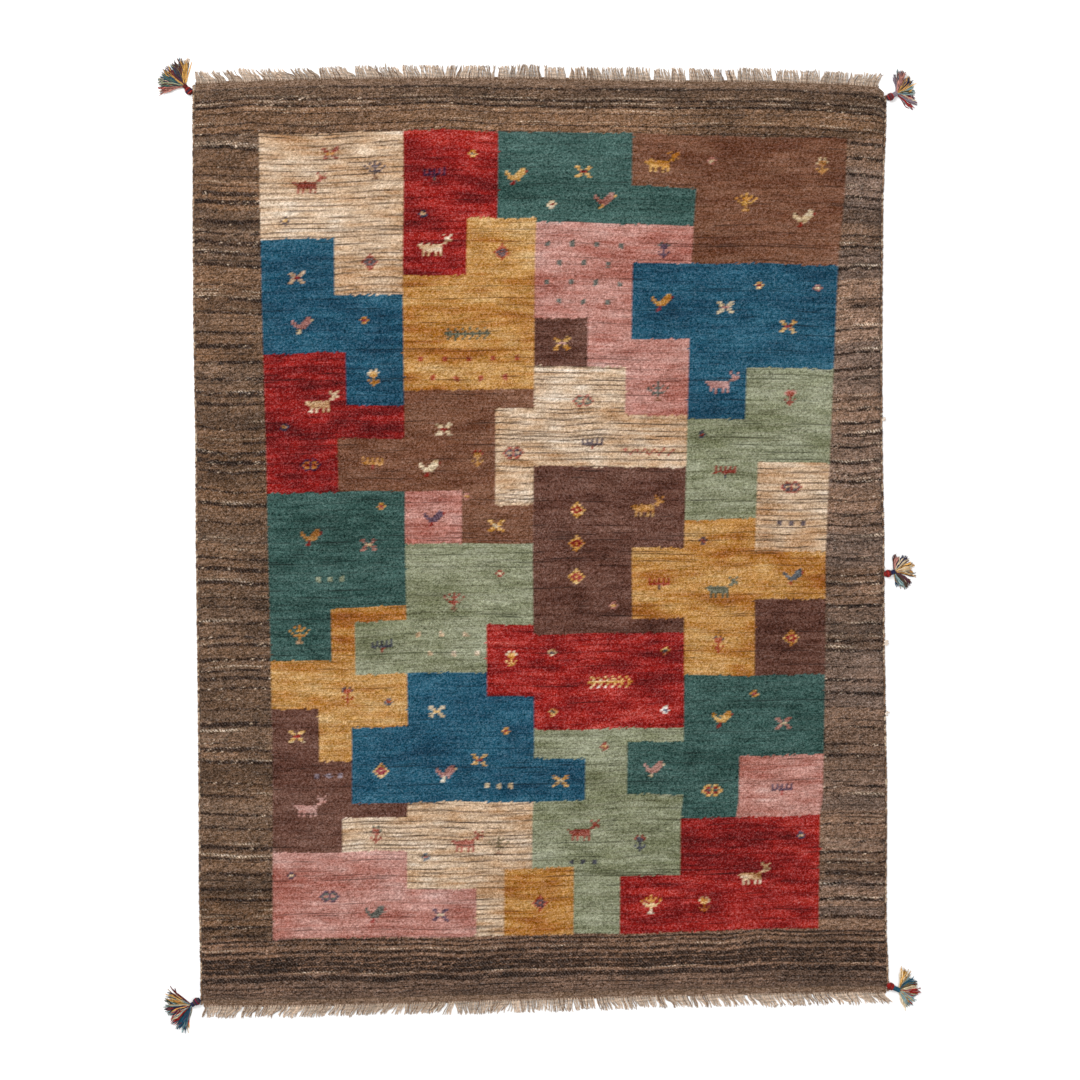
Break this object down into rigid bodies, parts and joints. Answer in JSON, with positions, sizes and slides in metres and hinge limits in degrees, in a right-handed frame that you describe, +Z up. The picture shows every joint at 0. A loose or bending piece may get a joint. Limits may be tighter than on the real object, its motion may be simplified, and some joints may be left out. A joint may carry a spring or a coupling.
{
  "type": "gabbeh rug",
  "caption": "Thick hand-knotted wool rug lying flat, with a patchwork of coloured blocks in a striped brown border, short fringes at both ends and small yarn tassels",
  "frame": {"origin": "the middle of the flat underside, on the floor that the rug lies on", "axes": "+X across the rug, +Y along its length and its warps, +Z up through the pile"},
  "size_m": [1.6561, 2.1146, 0.015],
  "materials": {
    "pile": "cut wool pile, matt",
    "cord": "wool overcasting, matt",
    "fringe": "undyed wool yarn, matt",
    "tassel": "wool yarn, matt"
  },
  "bodies": {
    "root": {"knotted_sheet": "pile", "side_cord_left": "cord", "side_cord_right": "cord", "fringe_top": "fringe", "fringe_bottom": "fringe", "tassel_top_left": "tassel", "tassel_top_right": "tassel", "tassel_right": "tassel", "tassel_bottom_left": "tassel", "tassel_bottom_right": "tassel"}
  },
  "joints": []
}
